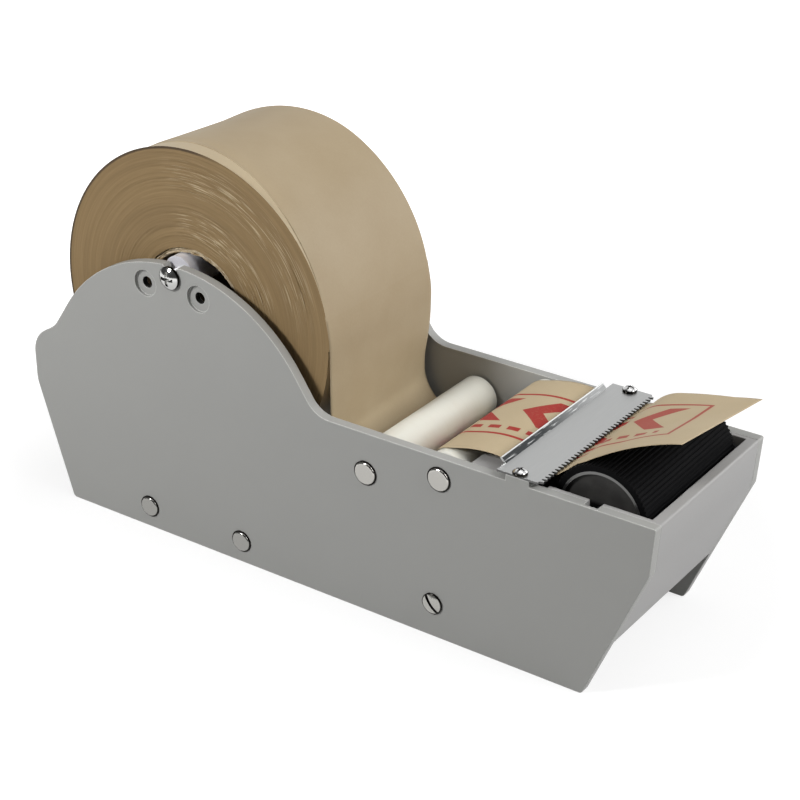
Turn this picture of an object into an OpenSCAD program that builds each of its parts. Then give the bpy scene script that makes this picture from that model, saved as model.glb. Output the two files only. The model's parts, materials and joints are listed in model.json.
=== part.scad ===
// Hand-operated dispenser for gummed paper tape.
// Two moulded side plates carry the paper roll on a lift-out spindle, two guide rollers,
// a serrated cutter and a ribbed roller that wets the gum from a water trough.
// X runs from the roll to the front, Y across the tape, Z up from the table.
// The origin is on the table, midway along the overall length.

/* [Side plates] */
// Width across the outer faces of the two side plates
body_w = 94; // [90:0.5:104]
// Length of a side plate, rear shoulder to front edge
plate_l = 331; // [326:1:345]
// Thickness of a side plate
wall_t = 4.5; // [4:0.1:5.5]
// Height of the straight rim along the front half
rim_h = 88; // [85:0.5:91]
// Height of the hump that carries the spindle
hump_h = 138.5; // [136:0.5:146]
// Width of the hump between its upper corner points
hump_top_w = 85; // [78:1:90]
// Width of the hump where it runs into the rim
hump_foot_w = 152; // [146:1:156]
// Distance of the hump's middle from the rear shoulder
hump_from_rear = 90.5; // [88:0.5:93]
// Radius where the front of the hump runs into the rim
hump_foot_r = 13.5; // [8:0.5:18]
// Height where the back of the hump runs into the rear shoulder
shoulder_h = 90; // [88:0.5:94]
// Height of the rear shoulder's corner point
rear_corner_h = 81.3; // [78:0.1:84]
// Radius of the rear shoulder and of the hollow above it
shoulder_r = 15; // [8:0.5:16]
// Height at which the rear edge starts to slope in towards the foot
rear_knee_h = 58.5; // [50:0.5:62]
// Radius of the rear knee
rear_knee_r = 15; // [5:1:20]
// Distance that the rear foot stands in from the shoulder
rear_foot_in = 18; // [10:1:26]
// Height of the knee in the front edge
knee_h = 66; // [60:0.5:70]
// Distance that the front knee stands in from the top corner
knee_in = 1.6; // [0.6:0.1:4]
// Distance that the front foot stands in from the top corner
front_foot_in = 29; // [22:1:34]
// Radius of the plate's sharp corners
corner_r = 2; // [1:0.5:3]

/* [Spindle] */
// Distance of the spindle axis from the rear shoulder
spindle_from_rear = 88.5; // [86:0.5:93]
// Height of the spindle axis
spindle_h = 133; // [131:0.2:137]
// Gap between the spindle tube's end and the plate
spindle_end_gap = 1.2; // [0.6:0.1:2]
// Outer diameter of the spindle tube
spindle_d = 16; // [14:0.5:18]
// Wall of the spindle tube
spindle_wall = 1.5; // [1:0.1:2]
// Diameter of the spindle screws' shanks
spindle_screw_d = 6; // [5:0.5:7]
// Diameter of the spindle screws' heads
spindle_head_d = 10.8; // [9.5:0.1:12]
// Height of the spindle screws' heads
spindle_head_h = 3; // [2:0.1:4]
// Length of the threaded plug in each end of the tube
plug_l = 12; // [8:1:20]
// Flare on each side of a spindle slot's mouth
slot_flare = 1.4; // [0.5:0.1:2.5]

/* [Spare holes] */
// Distance between the two spare holes beside a spindle slot
spare_pitch = 30.4; // [27:0.2:34]
// Height of the spare holes
spare_h = 126.5; // [123:0.5:129]
// Diameter of a spare hole
spare_d = 5.4; // [4:0.1:6]
// Diameter of a spare hole's counterbore
spare_bore_d = 12.4; // [10:0.1:13]
// Depth of a spare hole's counterbore
spare_bore_depth = 1.5; // [0.8:0.1:2.5]

/* [Paper tape] */
// Width of the tape
tape_w = 76; // [70:0.5:78]
// Outer diameter of the wound roll
roll_d = 150; // [130:1:154]
// Inner diameter of the roll's cardboard core
core_d = 53; // [50:0.5:60]
// Wall of the core
core_t = 2.5; // [1.5:0.1:4]
// Distance that the core ends lie inside the roll's faces
core_recess = 1; // [0.5:0.1:3]
// Thickness of the paper strip
web_t = 0.3; // [0.25:0.01:0.4]
// Angle by which the pulled roll hangs forward of the spindle
roll_lean = 14; // [0:1:18]
// Height of the wound edge that stands out of the roll's faces
wound_rise = 0.4; // [0.2:0.05:0.8]
// Turns of that wound edge
wound_turns = 12; // [6:1:16]
// Angle over which the slack strip hugs the rear guide roller
slack_wrap = 9; // [4:1:20]
// Length of the free end beyond the cutter
strip_reach = 54; // [44:1:60]
// Rise of the free end at the left edge of the strip
strip_rise_left = 30.5; // [24:0.5:34]
// Rise of the free end at the right edge of the strip
strip_rise_right = 18; // [15:0.5:22]
// Slope of the left edge as it leaves the cutter
strip_slope_left = 0.85; // [0.7:0.01:0.95]
// Slope of the right edge as it leaves the cutter
strip_slope_right = 0.62; // [0.5:0.01:0.7]
// Gap between the strip's right edge and the plate at the cutter
strip_side_gap = 1.5; // [1:0.1:2.5]

/* [Guide rollers] */
// Outer diameter of a guide roller
guide_d = 20; // [18:0.5:22]
// Wall of a guide roller's tube
guide_wall = 1.8; // [1.2:0.1:2.5]
// Distance of the rear guide roller from the rear shoulder
rear_guide_from_rear = 193; // [191:0.5:197]
// Drop of the rear guide roller's axis below the rim
rear_guide_drop = 19; // [17:0.5:22]
// Distance of the front guide roller from the rear shoulder
front_guide_from_rear = 230.5; // [228:0.5:234]
// Drop of the front guide roller's axis below the rim
front_guide_drop = 10; // [9.5:0.5:12]
// Diameter of a guide roller's axle
axle_d = 8; // [7:0.5:9]
// Length of the bush in each end of a guide roller
bush_l = 8; // [5:1:14]
// Gap between a guide roller's end and the plate
guide_end_gap = 1.2; // [0.6:0.1:2]

/* [Wetting roller] */
// Outer diameter of the ribbed rubber sleeve
wet_d = 43.2; // [41:0.2:44]
// Length of the wetting roller
wet_l = 75; // [70:0.5:76]
// Distance of the wetting roller's axis from the plates' front edge
wet_from_front = 29.8; // [29:0.1:31]
// Drop of the wetting roller's axis below the rim
shaft_drop = 7.5; // [6.5:0.1:9]
// Thickness of the rubber sleeve
sleeve_t = 3; // [2.5:0.1:4]
// Number of ribs round the sleeve
rib_count = 72; // [48:4:84]
// Depth of the grooves between the ribs
rib_depth = 0.5; // [0.3:0.05:0.8]
// Wall of the steel drum under the sleeve
drum_t = 1.2; // [1:0.1:2]
// Thickness of the discs that close the drum
disc_t = 3; // [2:0.5:5]
// Distance that the discs lie inside the drum's ends
disc_recess = 1.5; // [0.5:0.1:3]
// Diameter of the wetting roller's shaft
shaft_d = 6; // [5:0.5:7]
// Plate left behind the blind groove that holds the shaft's end
groove_skin = 1.5; // [1.2:0.1:2]

/* [Water trough] */
// Thickness of the trough's front wall
trough_front_t = 5; // [4:0.1:5]
// Thickness of the trough's side walls
trough_side_t = 2; // [1.5:0.1:2.2]
// Thickness of the trough's floor and back wall
trough_floor_t = 3; // [2:0.1:4]
// Height of the trough's lower edge
trough_bottom_h = 26.8; // [22:0.2:32]
// Length of the trough from the plates' front edge
trough_l = 72; // [68:0.5:76]
// Height of the trough's back wall
trough_back_h = 82; // [76:0.5:84]
// Bevel on the top edge of the trough's front wall
trough_bevel = 1.4; // [0.6:0.1:2]

/* [Cutter] */
// Depth of the cutter blade from its rear edge to its tooth tips
blade_depth = 21; // [19:0.5:22]
// Thickness of the blade
blade_t = 1; // [0.8:0.1:1.2]
// Distance of the tooth tips from the plates' front edge
blade_from_front = 51.6; // [51.5:0.1:53]
// Pitch of the teeth
tooth_pitch = 2.5; // [2:0.1:3.5]
// Depth of the teeth
tooth_depth = 1.7; // [1:0.1:2.5]
// Length of the turned-up lip that leads the tape in
lip_l = 4; // [2:0.1:5]
// Angle of the lip above the blade
lip_angle = 60; // [30:5:70]
// Distance of the lip's ends from the blade's ends
lip_inset = 3; // [2.5:0.5:8]
// Rise of the tabs that carry the blade above the rim
tab_rise = 2.8; // [2.4:0.1:3.4]
// Length of a tab
tab_l = 11; // [9:0.5:14]
// Diameter of a blade screw's shank
blade_screw_d = 2.6; // [2:0.1:3]
// Diameter of a blade screw's head
blade_head_d = 5.6; // [4.5:0.1:6]
// Depth of a blade screw in its tab
blade_screw_depth = 10; // [6:0.5:14]

/* [Tie rods] */
// Diameter of a tie rod between the plates
rod_d = 10; // [8:0.5:12]
// Diameter of a tie rod's ends in the plates
rod_end_d = 7; // [5:0.5:7.5]
// Distance of the rear tie rod from the rear shoulder
rear_rod_from_rear = 67.6; // [62:0.2:74]
// Distance of the middle tie rod from the rear shoulder
mid_rod_from_rear = 122.8; // [116:0.2:130]
// Height of the rear and middle tie rods
rod_h = 11; // [9:0.2:14]
// Distance of the front tie rod from the rear shoulder
front_rod_from_rear = 227.8; // [220:0.2:235]
// Height of the front tie rod
front_rod_h = 16.5; // [12:0.2:20]
// Diameter of the round caps on the rods and axles
cap_d = 12.2; // [11:0.1:13]
// Distance that a cap stands out of the plate
cap_rise = 1.2; // [0.8:0.1:2]
// Diameter of a cap's stem
cap_stem_d = 4; // [3:0.1:4.5]
// Length of a cap's stem
cap_stem_l = 6; // [4:0.5:10]
// Diameter of the front tie rod's slotted screws
rod_screw_d = 5; // [4:0.5:6]
// Diameter of the slotted screws' heads
rod_screw_head_d = 11.4; // [10:0.1:12]
// Depth of the slotted screws in the front tie rod
rod_screw_depth = 12; // [8:0.5:20]

/* [Hidden] */
// Clearances: a turning fit, a fixed fit, a lift-out fit and the gap to moving paper
run_gap = 0.05;
fit_gap = 0.02;
slot_gap = 0.1;
paper_gap = 0.3;
// Overrun of a cut past the face it opens
cut = 1;
// Largest angle between the points of an arc
arc_step = 4;

inner_w = body_w - 2 * wall_t;
overall_l = plate_l - blade_from_front + strip_reach;
rear_x = -overall_l / 2;
front_x = rear_x + plate_l;

hump_x = rear_x + hump_from_rear;
spindle = [rear_x + spindle_from_rear, spindle_h];
rear_guide = [rear_x + rear_guide_from_rear, rim_h - rear_guide_drop];
front_guide = [rear_x + front_guide_from_rear, rim_h - front_guide_drop];
wet = [front_x - wet_from_front, rim_h - shaft_drop];
rear_rod = [rear_x + rear_rod_from_rear, rod_h];
mid_rod = [rear_x + mid_rod_from_rear, rod_h];
front_rod = [rear_x + front_rod_from_rear, front_rod_h];
knee = [front_x - knee_in, knee_h];
front_foot = [front_x - front_foot_in, 0];

tooth_x = front_x - blade_from_front;
blade_rear_x = tooth_x - blade_depth;
blade_z = rim_h + tab_rise;
screw_x = tooth_x - blade_depth / 2 - tooth_depth / 2;
screw_y = body_w / 2 - wall_t / 2;

guide_r = guide_d / 2;
guide_l = inner_w - 2 * guide_end_gap;
bush_d = guide_d - 2 * guide_wall;
drum_d = wet_d - 2 * sleeve_t;
groove_depth = wall_t - groove_skin;
groove_w = shaft_d + 2 * slot_gap;
slot_w = spindle_screw_d + 2 * slot_gap;

core_or = core_d / 2 + core_t;
roll_r = roll_d / 2;
hang = core_d / 2 - spindle_d / 2 - paper_gap;
roll = spindle + hang * [sin(roll_lean), -cos(roll_lean)];

// Plane geometry
function unit(v) = v / norm(v);
function left(v) = [-v.y, v.x];
function flat(p) = [p[0], p[1]];
function turn(a, b) = a.x * b.y - a.y * b.x;
function along(i, n) = i / n;
function arc(c, r, a0, a1) =
    let (n = max(2, ceil(abs(a1 - a0) / arc_step)))
    [for (i = [0:n]) let (a = a0 + (a1 - a0) * along(i, n)) c + r * [cos(a), sin(a)]];

// The arc that rounds a corner [x, y, radius]: its middle, its two ends and the way it turns
function corner_fit(a, b, c) =
    let (u = unit(flat(a) - flat(b)), w = unit(flat(c) - flat(b)))
    let (half = acos(u * w) / 2, run = b[2] / tan(half))
    [flat(b) + unit(u + w) * b[2] / sin(half), flat(b) + u * run, flat(b) + w * run, turn(-u, w)];

// Side plates, drawn flat: x forward, y up, z outward from the inner face
hump_slope = atan2(hump_h - rim_h, (hump_foot_w - hump_top_w) / 2);
hump_back_slope = atan2(hump_h - shoulder_h, (hump_foot_w - hump_top_w) / 2);
hump_r = hump_top_w / 2 / tan(max(hump_slope, hump_back_slope) / 2);
plate_corners = [
    [front_foot.x, front_foot.y, corner_r],
    [knee.x, knee.y, corner_r],
    [front_x, rim_h, corner_r],
    [hump_x + hump_foot_w / 2, rim_h, hump_foot_r],
    [hump_x + hump_top_w / 2, hump_h, hump_r],
    [hump_x - hump_top_w / 2, hump_h, hump_r],
    [hump_x - hump_foot_w / 2, shoulder_h, shoulder_r],
    [rear_x, rear_corner_h, shoulder_r],
    [rear_x, rear_knee_h, rear_knee_r],
    [rear_x + rear_foot_in, 0, corner_r]
];

// An outline with its corners rounded by true arcs: the straight-sided shape between the arcs' ends,
// with a piece of disc added at each outward corner and cut out at each inward one
module rounded_outline(v) {
    n = len(v);
    fits = [for (i = [0:n - 1]) corner_fit(v[(i + n - 1) % n], v[i], v[(i + 1) % n])];
    difference() {
        union() {
            polygon([for (f = fits) each [f[1], f[2]]]);
            for (i = [0:n - 1]) if (fits[i][3] > 0) corner_piece(v[i], fits[i]);
        }
        for (i = [0:n - 1]) if (fits[i][3] < 0) corner_piece(v[i], fits[i]);
    }
}

module corner_piece(v, fit) {
    intersection() {
        translate(fit[0]) circle(r = v[2], $fn = 180);
        polygon([fit[1], flat(v), fit[2]]);
    }
}

// A hole straight through a plate
module plate_hole(at, d) {
    translate([at.x, at.y, -cut]) cylinder(d = d, h = wall_t + 2 * cut, $fn = 48);
}

// The open slot that the spindle screw drops into, flared at its mouth
module spindle_slot() {
    deep = wall_t + 2 * cut;
    plate_hole(spindle, slot_w);
    translate([spindle.x - slot_w / 2, spindle.y, -cut]) cube([slot_w, hump_h - spindle.y + cut, deep]);
    translate([spindle.x, hump_h, -cut]) linear_extrude(deep)
        polygon([
            [-slot_w / 2, -slot_flare],
            [slot_w / 2, -slot_flare],
            [slot_w / 2 + slot_flare + cut, cut],
            [-slot_w / 2 - slot_flare - cut, cut]
        ]);
}

// The blind groove in a plate's inner face that the wetting roller's shaft end drops into
module shaft_groove(depth) {
    translate([wet.x, wet.y, -cut]) cylinder(d = groove_w, h = depth + cut, $fn = 48);
    translate([wet.x - groove_w / 2, wet.y, -cut]) cube([groove_w, shaft_drop + cut, depth + cut]);
}

module side_plate() {
    difference() {
        union() {
            linear_extrude(wall_t) rounded_outline(plate_corners);
            translate([screw_x - tab_l / 2, rim_h - cut, 0]) cube([tab_l, tab_rise + cut, wall_t]);
        }
        spindle_slot();
        shaft_groove(groove_depth);
        for (at = [rear_rod, mid_rod]) plate_hole(at, rod_end_d + 2 * fit_gap);
        for (at = [rear_guide, front_guide]) plate_hole(at, axle_d + 2 * fit_gap);
        plate_hole(front_rod, rod_screw_d + 2 * fit_gap);
        for (side = [-1, 1]) {
            at = [spindle.x + side * spare_pitch / 2, spare_h];
            plate_hole(at, spare_d);
            translate([at.x, at.y, wall_t - spare_bore_depth])
                cylinder(d = spare_bore_d, h = spare_bore_depth + cut, $fn = 48);
        }
        translate([screw_x, blade_z + cut, wall_t / 2]) rotate([90, 0, 0])
            cylinder(d = blade_screw_d + 2 * fit_gap, h = blade_screw_depth + 2 * cut, $fn = 32);
    }
}

module side_plate_left() {
    color("#969692") translate([0, -inner_w / 2, 0]) rotate([90, 0, 0]) side_plate();
}

module side_plate_right() {
    color("#969692") mirror([0, 1, 0]) translate([0, -inner_w / 2, 0]) rotate([90, 0, 0]) side_plate();
}

// A solid of one side profile, centred across the tape
module across(w) {
    rotate([90, 0, 0]) linear_extrude(w, center = true) children();
}

// A piece that turns about an axis across the tape
module on_axis(at, y = 0) {
    translate([at.x, y, at.y]) rotate([90, 0, 0]) children();
}

// A piece on each side plate, facing outward
module both_sides(at, y) {
    for (side = [0, 1]) mirror([0, side, 0]) on_axis(at, -y) children();
}

// Point of the slanted front edge at a height
function slant_x(z) = knee.x - (knee_h - z) * (knee.x - front_foot.x) / knee_h;

module water_trough() {
    back_x = front_x - trough_l;
    floor_z = trough_bottom_h + trough_floor_t;
    slant = atan2(knee_h, knee.x - front_foot.x);
    slant_in = trough_front_t / sin(slant);
    color("#a2a29f") difference() {
        across(inner_w) polygon([
            [back_x, trough_bottom_h],
            [slant_x(trough_bottom_h), trough_bottom_h],
            [knee.x, knee.y],
            [front_x, rim_h - trough_bevel],
            [front_x - trough_bevel, rim_h],
            [tooth_x, rim_h],
            [tooth_x, trough_back_h],
            [back_x, trough_back_h]
        ]);
        across(inner_w - 2 * trough_side_t) polygon([
            [back_x + trough_floor_t, floor_z],
            [slant_x(floor_z) - slant_in, floor_z],
            [slant_x(knee_h) - slant_in, knee_h],
            [front_x - trough_front_t, rim_h + cut],
            [back_x + trough_floor_t, rim_h + cut]
        ]);
        translate([0, inner_w / 2 + cut, 0]) rotate([90, 0, 0]) shaft_groove(inner_w + 2 * cut);
    }
}

// Cutter blade, drawn flat: x forward from the rear edge, y across, z up
module blade_outline() {
    l = body_w;
    n = floor(l / tooth_pitch);
    first = -n * tooth_pitch / 2;
    root = blade_depth - tooth_depth;
    polygon(concat(
        [[root, -l / 2]],
        [for (i = [0:n - 1], k = [0:3])
            let (y = first + (i + [0.15, 0.35, 0.65, 0.85][k]) * tooth_pitch)
            [k == 0 || k == 3 ? root : blade_depth, y]],
        [[root, l / 2], [0, l / 2], [0, -l / 2]]
    ));
}

module cutter_blade() {
    lip_run = lip_l * cos(lip_angle);
    lip_up = lip_l * sin(lip_angle);
    lip_w = body_w - 2 * lip_inset;
    color("#b4b6b6") translate([blade_rear_x, 0, blade_z]) difference() {
        union() {
            linear_extrude(blade_t) blade_outline();
            across(lip_w) polygon([
                [0, 0],
                [blade_t, 0],
                [blade_t, blade_t],
                [blade_t * tan(lip_angle / 2), blade_t],
                [blade_t * sin(lip_angle) - lip_run, blade_t * cos(lip_angle) + lip_up],
                [-lip_run, lip_up]
            ]);
        }
        for (side = [-1, 1]) translate([screw_x - blade_rear_x, side * screw_y, -cut])
            cylinder(d = blade_screw_d + 2 * fit_gap, h = blade_t + 2 * cut, $fn = 32);
    }
}

// A low domed screw: head above z = 0, shank below
module domed_screw(head_d, head_h, shank_d, shank_l) {
    flank = head_h * 0.35;
    dome_r = (pow(head_d / 2, 2) + pow(head_h - flank, 2)) / (2 * (head_h - flank));
    dome_z = head_h - dome_r;
    dome_a = asin(head_d / 2 / dome_r);
    rotate_extrude($fn = 64) polygon(concat(
        [[0, -shank_l], [shank_d / 2, -shank_l], [shank_d / 2, 0], [head_d / 2, 0]],
        [for (p = arc([0, dome_z], dome_r, 90 - dome_a, 90)) [max(p.x, 0), p.y]]
    ));
}

// Cross recess for a screw head of a given diameter
module cross_recess(head_d, head_h) {
    arm = head_d * 0.62;
    slit = head_d * 0.14;
    for (a = [0, 90]) rotate(a) translate([-arm / 2, -slit / 2, head_h * 0.45]) cube([arm, slit, head_h]);
}

module blade_screws() {
    head_h = blade_head_d * 0.4;
    color("#c8c8c8") for (side = [-1, 1])
        translate([screw_x, side * screw_y, blade_z + blade_t]) difference() {
            domed_screw(blade_head_d, head_h, blade_screw_d, blade_t + blade_screw_depth);
            cross_recess(blade_head_d, head_h);
        }
}

// A rod that spaces the plates, with thinner ends that pass through them
module tie_rod(at) {
    socket_d = cap_stem_d + 2 * fit_gap;
    color("#b0b0b0") on_axis(at) difference() {
        union() {
            cylinder(d = rod_d, h = inner_w, center = true, $fn = 64);
            cylinder(d = rod_end_d, h = body_w, center = true, $fn = 64);
        }
        for (side = [-1, 1]) translate([0, 0, side * body_w / 2])
            cylinder(d = socket_d, h = 2 * (cap_stem_l + fit_gap), center = true, $fn = 32);
    }
}

module rear_tie_rod() {
    tie_rod(rear_rod);
}

module middle_tie_rod() {
    tie_rod(mid_rod);
}

module front_tie_rod() {
    color("#b0b0b0") on_axis(front_rod) difference() {
        cylinder(d = rod_d, h = inner_w, center = true, $fn = 64);
        for (side = [-1, 1]) translate([0, 0, side * inner_w / 2])
            cylinder(d = rod_screw_d + 2 * fit_gap, h = 2 * (rod_screw_depth + fit_gap), center = true, $fn = 32);
    }
}

module front_rod_screws() {
    head_h = cap_rise * 1.5;
    slit = rod_screw_head_d * 0.14;
    color("#c0c0c0") both_sides(front_rod, body_w / 2) difference() {
        domed_screw(rod_screw_head_d, head_h, rod_screw_d, wall_t + rod_screw_depth);
        rotate(40) translate([-rod_screw_head_d, -slit / 2, head_h * 0.4])
            cube([2 * rod_screw_head_d, slit, head_h]);
    }
}

// A round cap with a rolled edge, pressed by its stem into a rod's end
module cap() {
    edge = cap_rise * 0.6;
    rotate_extrude($fn = 64) polygon(concat(
        [[0, -cap_stem_l], [cap_stem_d / 2, -cap_stem_l], [cap_stem_d / 2, 0], [cap_d / 2, 0]],
        arc([cap_d / 2 - edge, cap_rise - edge], edge, 0, 90),
        [[0, cap_rise]]
    ));
}

module tie_rod_caps() {
    color("#c8c8c6") for (at = [rear_rod, mid_rod]) both_sides(at, body_w / 2) cap();
}

module axle_caps() {
    color("#c8c8c6") for (at = [rear_guide, front_guide]) both_sides(at, body_w / 2) cap();
}

// The fixed steel axle of a guide roller
module guide_axle(at) {
    socket_d = cap_stem_d + 2 * fit_gap;
    color("#b0b0b0") on_axis(at) difference() {
        cylinder(d = axle_d, h = body_w, center = true, $fn = 64);
        for (side = [-1, 1]) translate([0, 0, side * body_w / 2])
            cylinder(d = socket_d, h = 2 * (cap_stem_l + fit_gap), center = true, $fn = 32);
    }
}

module rear_guide_axle() {
    guide_axle(rear_guide);
}

module front_guide_axle() {
    guide_axle(front_guide);
}

// A guide roller's plastic tube with eased ends
module guide_tube(at) {
    ease = guide_wall / 3;
    color("#e4e2d8") on_axis(at) rotate_extrude($fn = 96) polygon([
        [bush_d / 2, -guide_l / 2],
        [guide_r - ease, -guide_l / 2],
        [guide_r, -guide_l / 2 + ease],
        [guide_r, guide_l / 2 - ease],
        [guide_r - ease, guide_l / 2],
        [bush_d / 2, guide_l / 2]
    ]);
}

// The plain bushes pressed into a guide roller's ends
module guide_bushes(at) {
    color("#d6d4c8") both_sides(at, guide_l / 2) translate([0, 0, -bush_l]) difference() {
        cylinder(d = bush_d - 2 * fit_gap, h = bush_l, $fn = 64);
        translate([0, 0, -cut]) cylinder(d = axle_d + 2 * run_gap, h = bush_l + 2 * cut, $fn = 64);
    }
}

module rear_guide_roller() {
    guide_tube(rear_guide);
}

module front_guide_roller() {
    guide_tube(front_guide);
}

module rear_guide_bushes() {
    guide_bushes(rear_guide);
}

module front_guide_bushes() {
    guide_bushes(front_guide);
}

// Wetting roller
module wetting_sleeve() {
    pitch = 360 / rib_count;
    top = wet_d / 2;
    root = top - rib_depth;
    outline = [for (i = [0:rib_count - 1], k = [0:3])
        let (a = (i + [0, 0.3, 0.5, 0.8][k]) * pitch, r = k < 2 ? top : root)
        r * [cos(a), sin(a)]];
    color("#1a1a1c") on_axis(wet) linear_extrude(wet_l, center = true) difference() {
        polygon(outline);
        circle(d = drum_d + 2 * fit_gap, $fn = 96);
    }
}

module wetting_drum() {
    color("#a8a8a6") on_axis(wet) difference() {
        cylinder(d = drum_d, h = wet_l, center = true, $fn = 96);
        cylinder(d = drum_d - 2 * drum_t, h = wet_l + 2 * cut, center = true, $fn = 96);
    }
}

module wetting_discs() {
    color("#303030") both_sides(wet, wet_l / 2 - disc_recess) translate([0, 0, -disc_t]) difference() {
        cylinder(d = drum_d - 2 * drum_t - 2 * fit_gap, h = disc_t, $fn = 96);
        translate([0, 0, -cut]) cylinder(d = shaft_d + 2 * fit_gap, h = disc_t + 2 * cut, $fn = 48);
    }
}

module wetting_shaft() {
    l = inner_w + 2 * groove_depth - 2 * slot_gap;
    color("#b0b0b0") on_axis(wet) cylinder(d = shaft_d, h = l, center = true, $fn = 48);
}

// Spindle
spindle_l = inner_w - 2 * spindle_end_gap;
plug_d = spindle_d - 2 * spindle_wall;

module spindle_tube() {
    color("#c4c4c8") on_axis(spindle) difference() {
        cylinder(d = spindle_d, h = spindle_l, center = true, $fn = 64);
        cylinder(d = plug_d, h = spindle_l + 2 * cut, center = true, $fn = 64);
    }
}

module spindle_plugs() {
    color("#909090") both_sides(spindle, spindle_l / 2) translate([0, 0, -plug_l]) difference() {
        cylinder(d = plug_d - 2 * fit_gap, h = plug_l, $fn = 64);
        translate([0, 0, -cut])
            cylinder(d = spindle_screw_d + 2 * fit_gap, h = plug_l + 2 * cut, $fn = 48);
    }
}

module spindle_screws() {
    head_y = body_w / 2 + paper_gap;
    shank_l = head_y - spindle_l / 2 + plug_l;
    color("#c8c8c8") both_sides(spindle, head_y) difference() {
        domed_screw(spindle_head_d, spindle_head_h, spindle_screw_d, shank_l);
        cross_recess(spindle_head_d, spindle_head_h);
    }
}

// Roll of tape
module roll_core() {
    l = tape_w - 2 * wound_rise - 2 * core_recess;
    color("#8a6f4d") on_axis(roll) difference() {
        cylinder(d = 2 * core_or, h = l, center = true, $fn = 96);
        cylinder(d = core_d, h = l + 2 * cut, center = true, $fn = 96);
    }
}

// The wound edge of the paper: a spiral of whole turns from the core to the rim
wound_margin = 1.2;
wound_in = core_or + wound_margin;
wound_pitch = (roll_r - wound_margin - wound_in) / (wound_turns + 1);
wound_w = wound_pitch * 0.6;
wound_steps = 20;
function wound_at(i) =
    let (a = 360 * i / wound_steps)
    (wound_in + wound_pitch * i / wound_steps) * [cos(a), sin(a)];
function wound_edge(shift) =
    [for (i = [0:wound_turns * wound_steps]) let (p = wound_at(i)) p + unit(p) * shift];
wound_inner = wound_edge(0);
wound_outer = wound_edge(wound_w);
wound_gaps = [for (i = [0:len(wound_outer) - 1 - wound_steps]) norm(wound_inner[i + wound_steps] - wound_outer[i])];
echo(least_gap_between_wound_turns = min(wound_gaps));

module wound_spiral() {
    n = len(wound_outer);
    polygon(concat(wound_inner, [for (i = [0:n - 1]) wound_outer[n - 1 - i]]));
}

module tape_roll() {
    body_l = tape_w - 2 * wound_rise;
    color("#b39a72") {
        on_axis(roll) difference() {
            cylinder(d = roll_d, h = body_l, center = true, $fn = 180);
            cylinder(d = 2 * (core_or + fit_gap), h = body_l + 2 * cut, center = true, $fn = 96);
        }
        both_sides(roll, body_l / 2) translate([0, 0, -cut]) linear_extrude(cut + wound_rise) wound_spiral();
    }
}

// Path of the strip's middle plane, seen from the left side.
// It hangs down the front of the roll, loops under the rear guide roller,
// goes over the front one and runs flat under the blade to the teeth.
strip_off = paper_gap + web_t / 2;
web_x = roll.x + roll_r + strip_off;
wrap_r = guide_r + strip_off;
guide_span = front_guide - rear_guide;
rise_angle = atan2(guide_span.y, guide_span.x) + asin(2 * wrap_r / norm(guide_span));
leave_angle = rise_angle - 90;
meet_angle = leave_angle - slack_wrap;
loop_r = (rear_guide.x - web_x + wrap_r * cos(meet_angle)) / (1 + cos(meet_angle));
loop_mid = rear_guide - (loop_r - wrap_r) * [cos(meet_angle), sin(meet_angle)];
under_blade = [blade_rear_x, blade_z - strip_off];
to_blade = under_blade - front_guide;
top_angle = atan2(to_blade.y, to_blade.x) + acos(wrap_r / norm(to_blade));
web_path = concat(
    [for (k = [0:3]) [web_x, roll.y + (loop_mid.y - roll.y) * k / 4]],
    arc(loop_mid, loop_r, 180, 360 + meet_angle),
    arc(rear_guide, wrap_r, meet_angle + slack_wrap / 2, leave_angle),
    arc(front_guide, wrap_r, rise_angle + 90, top_angle),
    [under_blade, under_blade + [blade_depth / 2, 0], under_blade + [blade_depth, 0]]
);

// The free end rises from the teeth and lies on the wetting roller where it would sink into it
strip_steps = 20;
function over_roller(x, z) =
    let (r = wet_d / 2 + strip_off, d = abs(x - wet.x))
    d < r ? max(z, wet.y + sqrt(r * r - d * d) + web_t / 2) : z;
function strip_z(u, slope, rise) = under_blade.y + strip_reach * slope * u + (rise - strip_reach * slope) * u * u;
function strip_edge(slope, rise) =
    [for (i = [1:strip_steps])
        let (u = i / strip_steps, x = tooth_x + strip_reach * u)
        [x, over_roller(x, strip_z(u, slope, rise))]];
web_left = concat(web_path, strip_edge(strip_slope_left, strip_rise_left));
web_right = concat(web_path, strip_edge(strip_slope_right, strip_rise_right));

// The strip wanders to the right between the front guide roller and the teeth
strip_drift = (inner_w - tape_w) / 2 - strip_side_gap;
function drift(x) = strip_drift * min(max((x - front_guide.x) / (tooth_x - front_guide.x), 0), 1);
function normal(line, i) =
    left(unit(line[min(i + 1, len(line) - 1)] - line[max(i - 1, 0)]));
function web_point(line, i, y, shift) =
    let (p = line[i] + normal(line, i) * shift)
    [p.x, y + (i > len(web_path) - 4 ? drift(line[i].x) : 0), p.y];

module tape_web() {
    n = len(web_left);
    half = web_t / 2;
    points = [for (i = [0:n - 1]) each [
        web_point(web_left, i, -tape_w / 2, half),
        web_point(web_left, i, -tape_w / 2, -half),
        web_point(web_right, i, tape_w / 2, -half),
        web_point(web_right, i, tape_w / 2, half)
    ]];
    sides = [for (i = [0:n - 2], k = [0:3])
        let (a = 4 * i + k, b = 4 * i + (k + 1) % 4)
        each [[a, a + 4, b + 4], [a, b + 4, b]]];
    last = 4 * (n - 1);
    color("#bfa77e") polyhedron(points, concat([[0, 1, 2, 3], [last + 3, last + 2, last + 1, last]], sides));
}

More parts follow.
